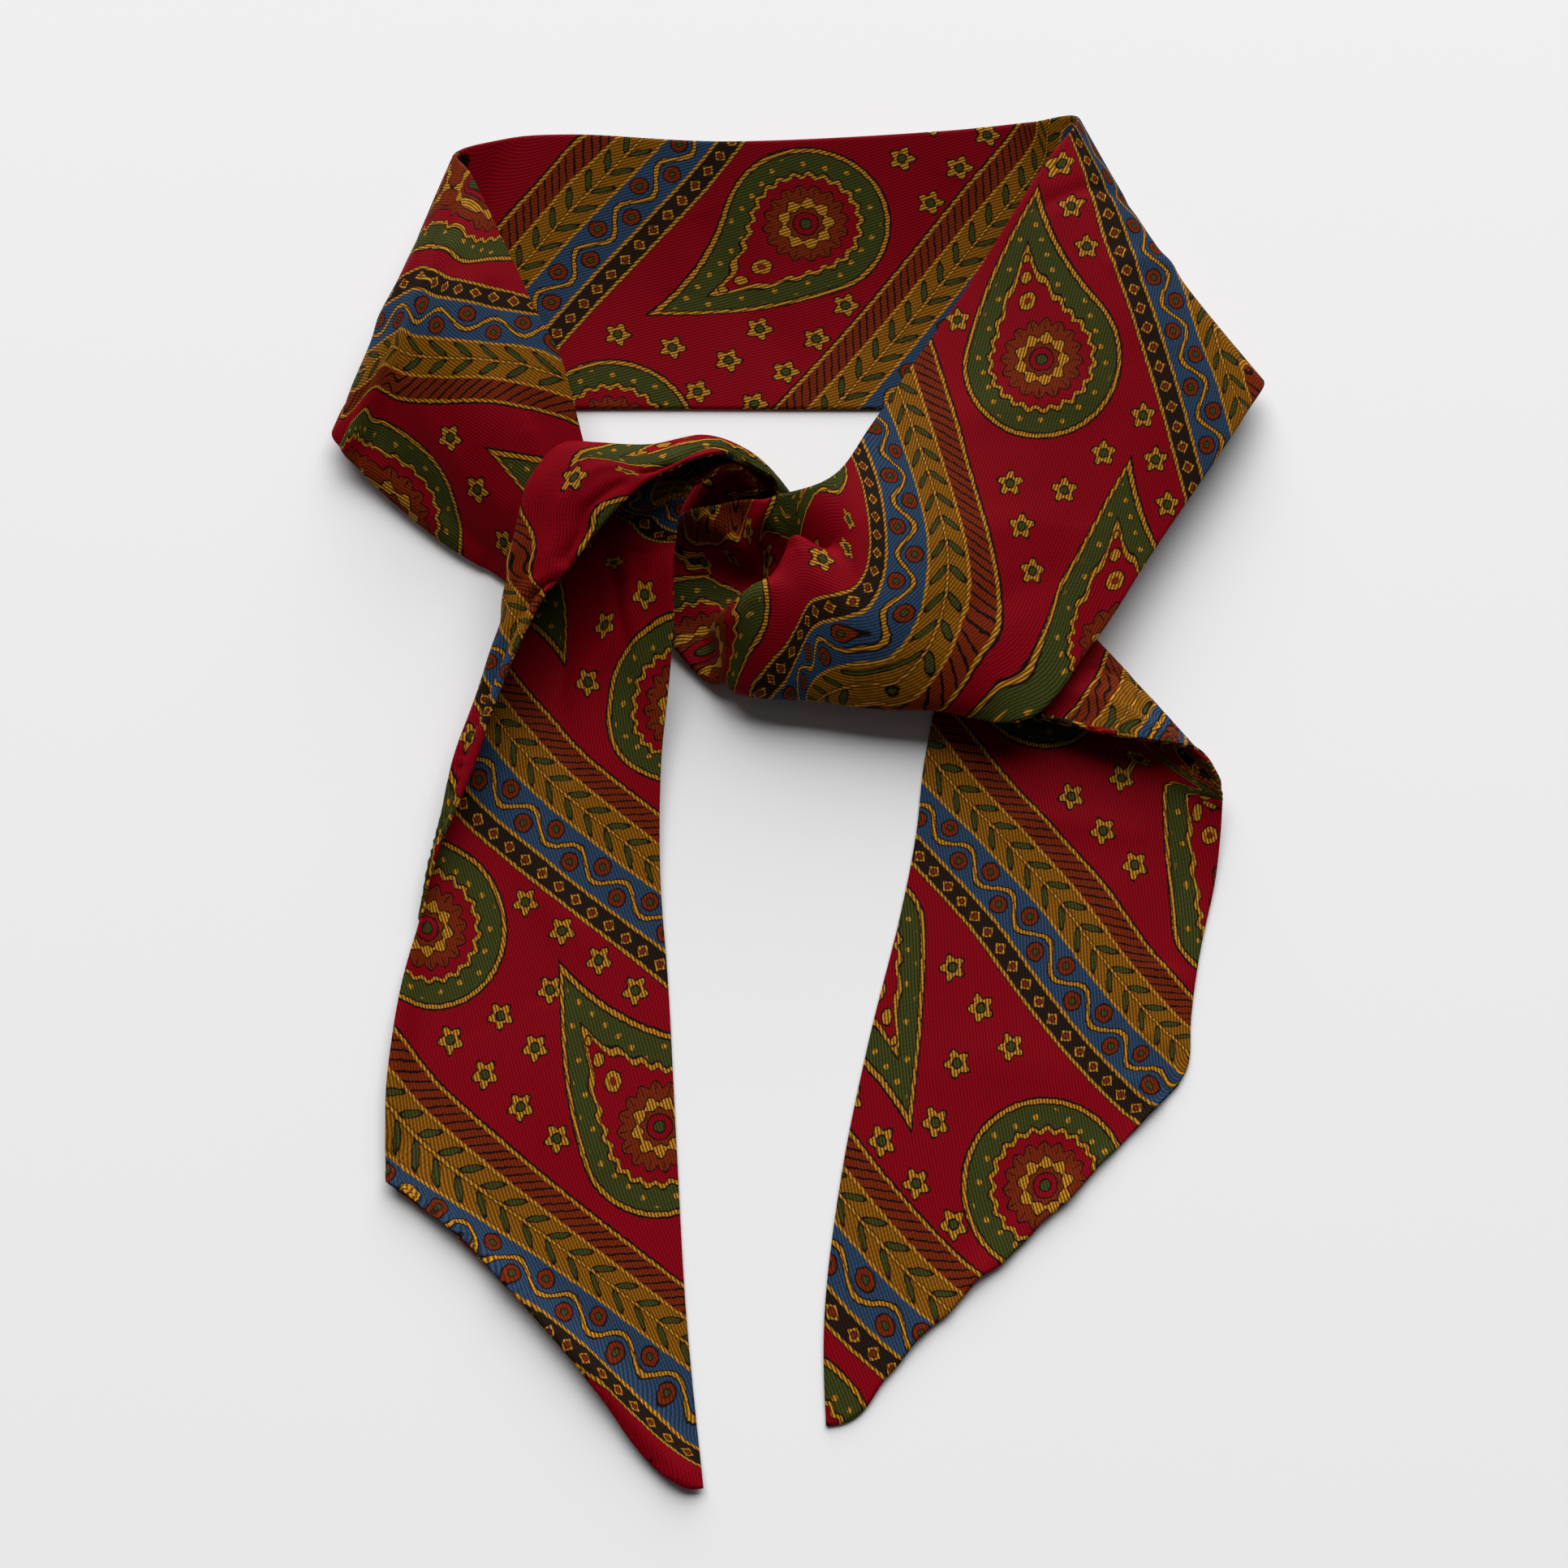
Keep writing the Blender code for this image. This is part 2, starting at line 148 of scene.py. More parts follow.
# The right tail, its turn under itself and the flare that comes out of the knot, from the edge
# that is on the left in the tail to the edge that is on the right.
Turn = namedtuple("Turn", "stretch left near middle far right")
RIGHT_TAIL = (
    Turn("right_tail", (8, -129, LIE), (13.5, -127.5, LIE), (26, -113, LIE),
         (52, -89, LIE), (78, -62.5, LIE)),
    Turn("right_tail", (7.8, -108, LIE), (14, -104, LIE), (32, -91, LIE),
         (56, -74.5, LIE), (80.2, -58, LIE)),
    Turn("right_tail", (11.2, -81, LIE), (18, -78, LIE), (35, -70, LIE),
         (58, -59.5, LIE), (81, -49, LIE)),
    Turn("right_tail", (16.8, -54, LIE), (24, -52.2, LIE), (40, -48, LIE),
         (62, -42, LIE), (83.3, -36, LIE)),
    Turn("right_tail", (23.4, -28, LIE), (31, -27.3, LIE), (45, -26, LIE),
         (66, -24, LIE), (87, -21, 1)),
    Turn("right_turn", (26.8, -11, LIE), (34, -11, LIE), (48, -11, LIE),
         (70, -11, 0.8), (88.3, -12, 2.4)),
    Turn("right_turn", (28.8, 5, LIE), (36, 4.5, LIE), (49, 3, LIE),
         (70, 0, 0.8), (88.6, -7.5, 3.8)),
    Turn("right_turn", (33, 27, LIE), (39, 23.5, LIE), (52, 16, LIE),
         (70, 5, 1), (88.6, -5.5, 5)),
    Turn("right_turn", (37, 50, LIE), (42, 43.5, LIE), (52, 31, LIE),
         (70, 11, 1.8), (88.3, -3.5, 6.5)),
    Turn("right_turn", (41, 58, 3), (49, 48, 3.4), (62.5, 32, 4),
         (78, 12, 6), (87.6, -1.5, 8)),
    Turn("right_turn", (31, 55, 5), (37, 46, 5.4), (52, 26, 6.5),
         (68, 14, 8.5), (82.8, 3.8, 10.5)),
    Turn("right_turn", (23, 53, 5), (27, 45, 5), (36, 31, 5.5),
         (51, 14, 7), (68, 7.3, 9)),
    Turn("right_turn", (16, 50, 5), (18, 45.5, 5), (23, 37, 5.5),
         (33, 22, 6), (47, 14, 7)),
)

# The layers inside the knot, as rings from its left end to its right end. They rise at the back.
Core = namedtuple("Core", "x y half_width height rise")
CORE = (
    Core(-43.5, 51.5, 5, 4.2, 0),
    Core(-38, 49, 6, 2.8, 0),
    Core(-28, 46, 10, 2.2, 0),
    Core(-18, 53.5, 17, 2.6, 12),
    Core(-10.5, 53, 15, 2.8, 9),
    Core(-2, 49.7, 7.8, 3, 0),
    Core(8, 41, 11, 12, 0),
    Core(23, 35.5, 6.5, 6, 0),
)

# A crease is a soft trough, where its height is below 0, or a soft ridge. It runs through three
# places on the cloth, in millimetres across the band and along the strand, and fades at its ends.
Crease = namedtuple("Crease", "height width start middle end")
LOOP_CREASES = (
    Crease(3.5, 4.0, (9, -2), (7.5, 14), (5, 30)),
    Crease(-2.5, 4.5, (21, 0), (18, 13), (13, 25)),
    Crease(1.1, 1.8, (26, 37), (33, 31), (42, 21)),
    Crease(-1.2, 5.0, (23, 30), (26, 38), (26, 52)),
    Crease(-0.5, 4.0, (36, 60), (42, 72), (50, 90)),
    Crease(0.4, 4.0, (24, 70), (32, 84), (44, 98)),
    Crease(0.5, 5.0, (8, 92), (22, 112), (40, 128)),
    Crease(-0.5, 6.0, (46, 96), (38, 116), (36, 142)),
    Crease(-0.6, 1.6, (2, 150), (9, 162), (22, 168)),
    Crease(0.6, 2.2, (20, 148), (34, 160), (52, 164)),
    Crease(-0.5, 1.5, (40, 172), (30, 182), (12, 188)),
    Crease(0.4, 7.0, (10, 205), (30, 215), (50, 222)),
    Crease(0.5, 6.0, (52, 240), (36, 252), (16, 262)),
    Crease(-0.4, 5.0, (8, 276), (20, 268), (34, 266)),
    Crease(-0.6, 1.8, (6, 318), (20, 324), (34, 326)),
    Crease(0.7, 2.5, (16, 330), (32, 334), (50, 330)),
    Crease(-0.6, 1.7, (30, 342), (44, 346), (57, 342)),
    Crease(-0.6, 3.0, (8, 346), (16, 360), (22, 380)),
    Crease(0.5, 3.0, (34, 356), (38, 372), (36, 392)),
    Crease(-0.6, 2.2, (46, 366), (48, 380), (44, 398)),
    Crease(0.5, 1.8, (20, 376), (24, 388), (26, 402)),
    Crease(1.5, 4.0, (57, 352), (54, 368), (50, 394)),
)
LEFT_CREASES = (
    Crease(3.0, 4.0, (2, -36), (29, 0), (56, 38)),
    Crease(2.6, 4.0, (56, 26), (58.5, 52), (54.5, 84)),
    Crease(1.6, 1.1, (52.4, 84), (51.6, 126), (51.4, 160)),
    Crease(1.3, 1.1, (51.2, 148), (52.4, 168), (54.6, 186)),
    Crease(-1.6, 6.0, (14, 164), (26, 146), (37, 118)),
    Crease(0.8, 2.2, (6, 158), (21, 140), (41, 106)),
    Crease(0.5, 6.0, (14, 30), (24, 44), (26, 66)),
    Crease(0.4, 7.0, (44, 22), (36, 40), (40, 60)),
    Crease(0.6, 4.0, (18, 74), (30, 92), (36, 118)),
    Crease(-0.6, 3.0, (22, 112), (29, 134), (30, 160)),
    Crease(0.6, 2.2, (8, 128), (14, 148), (15, 172)),
    Crease(-0.6, 1.6, (14, 140), (20, 160), (20, 184)),
    Crease(0.5, 1.5, (22, 158), (27, 174), (26, 194)),
    Crease(-0.6, 1.4, (34, 150), (36, 168), (32, 188)),
    Crease(0.5, 2.2, (44, 138), (46, 156), (44, 178)),
    Crease(-0.4, 1.4, (50, 160), (48, 178), (46, 190)),
    Crease(1.2, 0.9, (49, 193), (41, 202), (35, 220)),
)
RIGHT_CREASES = (
    Crease(0.7, 5.0, (4, -34), (30, 0), (58, 24)),
    Crease(1.5, 1.1, (33, 140), (41, 124.5), (52, 108)),
    Crease(-0.5, 1.6, (36, 148), (41, 133), (50, 118)),
    Crease(-0.6, 1.4, (31, 142), (36, 134), (44, 126)),
    Crease(0.35, 6.0, (12, 30), (26, 38), (44, 34)),
    Crease(0.4, 5.0, (48, 50), (40, 64), (44, 84)),
    Crease(0.5, 3.2, (14, 84), (28, 90), (46, 88)),
    Crease(-0.4, 2.5, (54, 70), (56, 84), (54, 100)),
    Crease(0.5, 1.4, (58, 30), (54, 36), (50, 38)),
    Crease(0.4, 1.2, (59, 44), (55, 48), (51, 49)),
    Crease(0.4, 1.3, (59, 60), (55, 63), (50, 63)),
)

# A stitched end is drawn in or left standing by a few tenths of a millimetre, unevenly. This fades
# PUCKER_REACH millimetres into the band.
Pucker = namedtuple("Pucker", "across width pull lift")
LEFT_PUCKERS = (
    Pucker(7, 2.2, 0.5, 0.5), Pucker(14, 3.0, -0.3, 0.2), Pucker(21, 2.4, 0.4, 0.5),
    Pucker(29, 2.8, 0.2, 0.3), Pucker(36, 2.0, -0.3, 0.5), Pucker(45, 3.2, 0.5, 0.3),
    Pucker(53, 2.2, 0.4, 0.6),
)
RIGHT_PUCKERS = (
    Pucker(5, 2.4, 0.9, 0.3), Pucker(12, 3.2, 0.5, 0.5), Pucker(18, 1.6, -0.4, 0.2),
    Pucker(24, 2.4, 0.9, 0.7), Pucker(29, 1.6, -0.3, 0.3), Pucker(37, 2.0, 0.5, 0.4),
    Pucker(42, 1.8, -0.3, 0.6), Pucker(48, 2.2, 0.4, 0.4), Pucker(55, 2.0, 0.3, 0.6),
)
PUCKER_REACH = 5

# How finely curves are read, and the powers of distance that space their parameters.
FINE_POINTS = 400
CREASE_POINTS = 40
EVEN = 1.0
CENTRIPETAL = 0.5

# The pleats round the knot's inner layers, in shares of their height, and how far they drift from
# ring to ring. The layers lean to the right where they rise, and an inset and a lift in
# millimetres keep them clear of the cloth round them.
RING_POINTS = 48
PLEATS = 7
PLEAT_DEPTH = 0.16
PLEAT_DRIFT = 0.7
CORE_LEAN = 0.4
CORE_INSET = 0.2
CORE_LIFT = 0.3

# Where rows stand near a folded edge, in shares of the edge's reach, and how much of the wall is
# left at the edge itself.
EDGE_ROWS = (0, 0.08, 0.25, 0.5, 0.8)
FIRST_EVEN_ROW = 1.2
EDGE_WALL = 0.2


class ScarfSizes(bpy.types.PropertyGroup):
    """The cloth's own sizes."""

    wall: bpy.props.FloatProperty(
        name="Wall", description="Thickness of the doubled silk", default=1.1 * MM, unit="LENGTH")
    band: bpy.props.FloatProperty(
        name="Band width", description="Width of the finished band", default=60 * MM,
        unit="LENGTH")
    step: bpy.props.FloatProperty(
        name="Step", description="Distance between neighbouring rows of the cloth", default=0.8 * MM,
        unit="LENGTH")
    edge: bpy.props.FloatProperty(
        name="Edge", description="Reach of the rounding along the folded edges", default=0.7 * MM,
        unit="LENGTH")


class StageSizes(bpy.types.PropertyGroup):
    """The camera, the floor and the light."""

    lens: bpy.props.FloatProperty(
        name="Lens", description="Focal length in millimetres on a 36 mm sensor", default=67.17)
    tilt: bpy.props.FloatProperty(
        name="Tilt", description="Angle of the view from straight down", default=math.radians(18.4),
        subtype="ANGLE")
    distance: bpy.props.FloatProperty(
        name="Distance", description="From the camera to the floor at the picture's centre",
        default=0.598, unit="LENGTH")
    floor: bpy.props.FloatVectorProperty(
        name="Floor", description="Colour of the floor", default=(0.872, 0.870, 0.878),
        subtype="COLOR")
    fill: bpy.props.FloatProperty(
        name="Fill", description="Strength of the even light from all round", default=0.05)
    light_place: bpy.props.FloatVectorProperty(
        name="Light place", description="Where the soft light stands", default=(0.2, 4.9, 4.1),
        subtype="TRANSLATION")
    light_size: bpy.props.FloatProperty(
        name="Light size", description="Width of the soft light", default=8.0, unit="LENGTH")
    light_power: bpy.props.FloatProperty(
        name="Light power", description="Power of the soft light in watts", default=860)


PALETTE = {
    "Crimson": (0.19, 0.0005, 0.005),
    "Olive": (0.036, 0.040, 0.007),
    "Ochre": (0.185, 0.068, 0.0025),
    "Gold": (0.32, 0.135, 0.009),
    "Blue": (0.019, 0.041, 0.082),
    "Rust": (0.135, 0.015, 0.002),
    "Brown": (0.014, 0.007, 0.004),
    "Line": (0.008, 0.003, 0.003),
}


def colour_property(name):
    return bpy.props.FloatVectorProperty(
        name=name, description=f"The print's {name.lower()}", default=PALETTE[name],
        subtype="COLOR", min=0, max=1)


class ScarfColours(bpy.types.PropertyGroup):
    """The inks of the print."""

    crimson: colour_property("Crimson")
    olive: colour_property("Olive")
    ochre: colour_property("Ochre")
    gold: colour_property("Gold")
    blue: colour_property("Blue")
    rust: colour_property("Rust")
    brown: colour_property("Brown")
    line: colour_property("Line")


def spread(points, power=CENTRIPETAL):
    """Curve parameters for points, from the distances between them."""
    steps = np.linalg.norm(np.diff(points, axis=0), axis=-1)
    while steps.ndim > 1:
        steps = steps.mean(axis=1)
    return np.concatenate([[0.0], np.cumsum(steps ** power)])


def smooth(points, knots, at):
    """A smooth curve through points at knots, read at the parameters at."""
    lead = (-1,) + (1,) * (points.ndim - 1)
    width = np.diff(knots).reshape(lead)
    slope = np.diff(points, axis=0) / width
    tangent = np.empty_like(points)
    tangent[1:-1] = (slope[:-1] * width[1:] + slope[1:] * width[:-1]) / (width[1:] + width[:-1])
    tangent[0] = 1.5 * slope[0] - 0.5 * tangent[1]
    tangent[-1] = 1.5 * slope[-1] - 0.5 * tangent[-2]
    k = np.clip(np.searchsorted(knots, at, side="right") - 1, 0, len(knots) - 2)
    w = width[k]
    u = ((at - knots[k]) / np.diff(knots)[k]).reshape(lead)
    start = (2 * u**3 - 3 * u**2 + 1) * points[k] + (u**3 - 2 * u**2 + u) * w * tangent[k]
    end = (3 * u**2 - 2 * u**3) * points[k + 1] + (u**3 - u**2) * w * tangent[k + 1]
    return start + end


def section(points, across):
    """Points at the shares across of the length of the smooth curve through a section's points."""
    points = np.array(points, float)
    knots = spread(points)
    fine = smooth(points, knots, np.linspace(0, knots[-1], FINE_POINTS))
    run = spread(fine, EVEN)
    want = across * run[-1]
    return np.stack([np.interp(want, run, fine[:, axis]) for axis in range(3)], axis=-1)


def shares(length, step, edge):
    """Shares from 0 to 1 of a length: fine near both ends, and about a step apart between."""
    near = edge * np.array(EDGE_ROWS)
    first = edge * FIRST_EVEN_ROW
    middle = np.linspace(first, length - first, int(length / step))
    return np.concatenate([near, middle, length - near[::-1]]) / length


def rows_of(table):
    """The points of each section of a table."""
    return [row[1:] for row in table]


def core_rows():
    """The knot's inner layers as rings, with pleats that run from ring to ring."""
    rows = []
    turn = np.linspace(-0.5 * math.pi, 1.5 * math.pi, RING_POINTS)
    for number, ring in enumerate(CORE):
        pleat = 1 - PLEAT_DEPTH * (1 + np.cos(PLEATS * turn + PLEAT_DRIFT * number))
        rise = ring.rise * np.sin(np.clip(turn, 0, math.pi / 2) * 2)
        y = ring.y + (ring.half_width - CORE_INSET) * np.cos(turn)
        z = ring.height / 2 * (1 + pleat * np.sin(turn)) + CORE_LIFT + rise
        rows.append(np.stack([ring.x + CORE_LEAN * rise, y, z], axis=-1))
    return rows


def cloth_grid(rows, sizes):
    """A strand's middle surface, drawn smoothly through its rows, as a grid of points in metres."""
    across = shares(sizes.band, sizes.step, sizes.edge)
    rows = np.array([section(row, across) for row in rows])
    knots = spread(rows)
    run = spread(smooth(rows, knots, np.linspace(0, knots[-1], FINE_POINTS)), EVEN)
    along = shares(run[-1] * MM, sizes.step, sizes.edge) * run[-1]
    at = np.interp(along, run, np.linspace(0, knots[-1], FINE_POINTS))
    grid = smooth(rows, knots, at)
    grid[..., 2] = np.maximum(grid[..., 2], LIE)
    return (grid - (*LAYOUT_CENTRE, 0)) * MM


def unit(vectors):
    """The vectors at length 1."""
    return vectors / np.maximum(np.linalg.norm(vectors, axis=-1, keepdims=True), 1e-12)


def place_on_cloth(grid, band):
    """Where each point lies on the flat cloth: how far across the band and how far along it.

    Both are measured on the surface, out from the middle column, square to the band's run and
    along it, so a print that is drawn by them keeps its shape.
    """
    middle = grid.shape[1] // 2
    run = unit(np.gradient(grid, axis=0))
    step = np.diff(grid, axis=1)
    forward = (step * unit(run[:, 1:] + run[:, :-1])).sum(axis=-1)
    square = np.sqrt(np.maximum((step ** 2).sum(axis=-1) - forward ** 2, 0))
    start = np.zeros((len(grid), 1))
    across = np.concatenate([start, np.cumsum(square, axis=1)], axis=1)
    along = np.concatenate([start, np.cumsum(forward, axis=1)], axis=1)
    middle_run = np.linalg.norm(np.diff(grid[:, middle], axis=0), axis=-1)
    down = np.concatenate([[0.0], np.cumsum(middle_run)])
    across += band / 2 - across[:, middle:middle + 1]
    along += down[:, None] - along[:, middle:middle + 1]
    return across, along


def press_creases(grid, creases, sizes, face=1):
    """Move a strand's points along its normals where the creases run, and keep them off the floor.

    The face is -1 for a strand whose normals point down where it lies flat. There a crease's
    height counts upwards, and where such a strand is turned over it counts downwards.
    """
    across, along = place_on_cloth(grid, sizes.band)
    lift = np.zeros(across.shape)
    step = np.linspace(0, 1, CREASE_POINTS)
    fade = np.sqrt(np.sin(math.pi * step))
    for crease in creases:
        start, middle, end = (np.array(place) * MM for place in crease[2:])
        bend = 2 * middle - (start + end) / 2
        away = np.full(across.shape, np.inf)
        share = np.zeros(across.shape)
        for t, strength in zip(step, fade):
            x, y = (1 - t) ** 2 * start + 2 * t * (1 - t) * bend + t ** 2 * end
            distance = np.hypot(across - x, along - y)
            share = np.where(distance < away, strength, share)
            away = np.minimum(distance, away)
        lift += crease.height * MM * share * np.exp(-(away / (crease.width * MM)) ** 2)
    grid = grid + normals(grid) * (face * lift)[..., None]
    grid[..., 2] = np.maximum(grid[..., 2], LIE * MM)
    return grid


def pucker_end(grid, puckers, sizes):
    """Draw a strand's first end in and lift it, as stitching does."""
    across, along = place_on_cloth(grid, sizes.band)
    run = unit(np.gradient(grid, axis=0))
    deep = np.linalg.norm(np.diff(grid, axis=0), axis=-1).mean(axis=1)
    deep = np.concatenate([[0.0], np.cumsum(deep)])[:, None] / (PUCKER_REACH * MM)
    near = np.exp(-deep ** 2)
    for pucker in puckers:
        wide = np.exp(-((across - pucker.across * MM) / (pucker.width * MM)) ** 2)
        grid = grid + run * (pucker.pull * MM * near * wide)[..., None]
        grid[..., 2] += pucker.lift * MM * near * wide
    return grid


def surface_area(grid):
    crossed = np.cross(grid[1:, 1:] - grid[:-1, :-1], grid[1:, :-1] - grid[:-1, 1:])
    return float(np.linalg.norm(crossed, axis=-1).sum() / 2)


def normals(grid):
    """The surface's normals, by its columns and rows."""
    return unit(np.cross(np.gradient(grid, axis=1), np.gradient(grid, axis=0)))


def deselect():
    bpy.ops.object.select_all(action="DESELECT")


def sheet_piece(name, grid, sizes, material):
    """A grid primitive laid on a strand's middle surface, with a wall, rounded edges and a UV map."""
    rows, columns = grid.shape[:2]
    deselect()
    bpy.ops.mesh.primitive_grid_add(
        x_subdivisions=columns - 1, y_subdivisions=rows - 1, size=1, location=(0, 0, 0))
    piece = bpy.context.object
    piece.name = name
    mesh = piece.data
    mesh.name = name
    flat = np.empty(len(mesh.vertices) * 3)
    mesh.vertices.foreach_get("co", flat)
    flat = flat.reshape(-1, 3)
    column = np.rint((flat[:, 0] + 0.5) * (columns - 1)).astype(int)
    row = np.rint((flat[:, 1] + 0.5) * (rows - 1)).astype(int)
    mesh.vertices.foreach_set("co", grid[row, column].ravel())
    corner_vertex = np.empty(len(mesh.loops), int)
    mesh.loops.foreach_get("vertex_index", corner_vertex)
    across, along = place_on_cloth(grid, sizes.band)
    place = np.stack([across[row, column], along[row, column]], axis=-1)
    mesh.uv_layers[0].data.foreach_set("uv", place[corner_vertex].ravel())
    mesh.uv_layers[0].name = "cloth"
    front_points = len(mesh.vertices)
    round_edges(piece, column, row, grid, sizes)
    wall = piece.modifiers.new("wall", "SOLIDIFY")
    wall.thickness = sizes.wall
    wall.offset = 0
    wall.vertex_group = "fullness"
    wall.use_quality_normals = True
    bpy.ops.object.modifier_apply(modifier=wall.name)
    turn_print(mesh, front_points, sizes.band)
    mesh.shade_smooth()
    mesh.materials.append(material)
    mesh.update()
    return piece


def turn_print(mesh, front_points, band):
    """Carry the print round the folded edge onto the band's other layer."""
    corner_vertex = np.empty(len(mesh.loops), int)
    mesh.loops.foreach_get("vertex_index", corner_vertex)
    place = np.empty(len(mesh.loops) * 2)
    mesh.uv_layers["cloth"].data.foreach_get("uv", place)
    place = place.reshape(-1, 2)
    starts = np.empty(len(mesh.polygons), int)
    mesh.polygons.foreach_get("loop_start", starts)
    totals = np.empty(len(mesh.polygons), int)
    mesh.polygons.foreach_get("loop_total", totals)
    behind = np.minimum.reduceat(corner_vertex, starts) >= front_points
    corners = np.repeat(behind, totals)
    place[corners, 0] = 2 * band - place[corners, 0]
    mesh.uv_layers["cloth"].data.foreach_set("uv", place.ravel())


def from_edges(grid, axis):
    """The distance of each row, or each column, from the nearer edge of the grid."""
    steps = np.linalg.norm(np.diff(grid, axis=axis), axis=-1).mean(axis=1 - axis)
    run = np.concatenate([[0.0], np.cumsum(steps)])
    return np.minimum(run, run[-1] - run)


def round_edges(piece, column, row, grid, sizes):
    """A vertex group that thins the wall towards the edges, as a folded edge rounds off."""
    nearest = np.minimum(from_edges(grid, 0)[row], from_edges(grid, 1)[column])
    near = np.clip(nearest / sizes.edge, 0, 1)
    full = np.maximum(np.sqrt(1 - (1 - near) ** 2), EDGE_WALL)
    group = piece.vertex_groups.new(name="fullness")
    for number, share in enumerate(full):
        group.add([number], float(share), "REPLACE")


def cloth_piece(context, name, grid):
    """A strand's finished piece in printed silk, on the one body."""
    material = printed_silk(context.scene.scarf_colours)
    piece = sheet_piece(name, grid, context.scene.scarf_sizes, material)
    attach(piece, "root")
    return piece


def declare_sheet(grid, sizes):
    across, along = place_on_cloth(grid, sizes.band)
    length = float(np.ptp(along))
    area = min(surface_area(grid), sizes.band * length)


class Number:
    """A number that changes over the cloth, as the output of a Math node."""

    def __init__(self, tree, socket):
        self.tree = tree
        self.socket = socket

    def math(self, operation, *others, clamp=False):
        node = self.tree.nodes.new("ShaderNodeMath")
        node.operation = operation
        node.use_clamp = clamp
        for slot, value in enumerate((self, *others)):
            if isinstance(value, Number):
                self.tree.links.new(value.socket, node.inputs[slot])
            else:
                node.inputs[slot].default_value = value
        return Number(self.tree, node.outputs[0])

    def __add__(self, other):
        return self.math("ADD", other)

    def __sub__(self, other):
        return self.math("SUBTRACT", other)

    def __mul__(self, other):
        return self.math("MULTIPLY", other)

    def __truediv__(self, other):
        return self.math("DIVIDE", other)

    def __abs__(self):
        return self.math("ABSOLUTE")

    def above(self, other):
        return self.math("MAXIMUM", other)

    def below(self, other):
        return self.math("MINIMUM", other)

    def cos(self):
        return self.math("COSINE")

    def wrapped(self, reach):
        """The number brought into the range from minus reach to reach, by whole periods."""
        return self.math("WRAP", -reach, reach)

    def angle(self, other):
        return self.math("ARCTAN2", other)

    def reach(self, other):
        """The distance that this number and another one, square to it, give together."""
        return (self * self + other * other).math("SQRT")


# The print, in millimetres on the flat cloth: how soft its edges are, how often its stripes and
# drops come back and how far each reaches from its middle, how much the bias stretches it along
# the band, and how far its lines stray.
BLEED = 0.16
STRIPE_REPEAT = 66
STRIPE_REACH = 13.2
STRIPE_TURN = math.radians(52)
PAISLEY_REPEAT = 60
PAISLEY_REACH = 16.2
BIAS_STRETCH = 1.12
STRAY = 0.5
STRAY_SCALE = 900


def inside(distance):
    """A mask that is 1 where a distance in millimetres is below 0, with a soft printed edge."""
    return distance.math("MULTIPLY_ADD", -1 / BLEED, 0.5, clamp=True)


def cell(x, y, width, height):
    """Places within the cells of a half-drop repeat, and whether the column is an odd one."""
    odd = (x / width + 0.5).math("FLOOR").math("PINGPONG", 1.0)
    return x.wrapped(width / 2), (y + odd * (height / 2)).wrapped(height / 2), odd


class Ink:
    """The colour printed so far, over which the next motif is laid."""

    def __init__(self, tree, palette, ground):
        self.tree = tree
        self.palette = palette
        self.colour = palette[ground]

    def lay(self, mask, name):
        mix = self.tree.nodes.new("ShaderNodeMix")
        mix.data_type = "RGBA"
        self.tree.links.new(mask.socket, mix.inputs["Factor"])
        self.tree.links.new(self.colour, mix.inputs[6])
        self.tree.links.new(self.palette[name], mix.inputs[7])
        self.colour = mix.outputs[2]

    def lined(self, distance, name, line=0.3):
        """A shape with a dark outline, line millimetres wide."""
        self.lay(inside(distance - line), "Line")
        self.lay(inside(distance), name)


def print_florets(ink, x, y):
    """Small five-petalled flowers over the ground, wherever a whole one has room."""
    fx, fy, _ = cell(x + 3.6, y + 3.1, 9.9, 9.2)
    middle_x, middle_y = x - fx, y - fy
    drop = paisley(middle_x, middle_y)[-1]
    room = abs(middle_x.wrapped(STRIPE_REPEAT / 2)) - STRIPE_REACH
    crowded = (drop.below(room) - 2.75) * -100
    out = fx.reach(fy)
    petals = (fy.angle(fx) * 5).cos() * 0.5
    ink.lined((out - petals - 2.0).above(crowded), "Gold", 0.38)
    ink.lined((out - 0.75).above(crowded), "Olive")


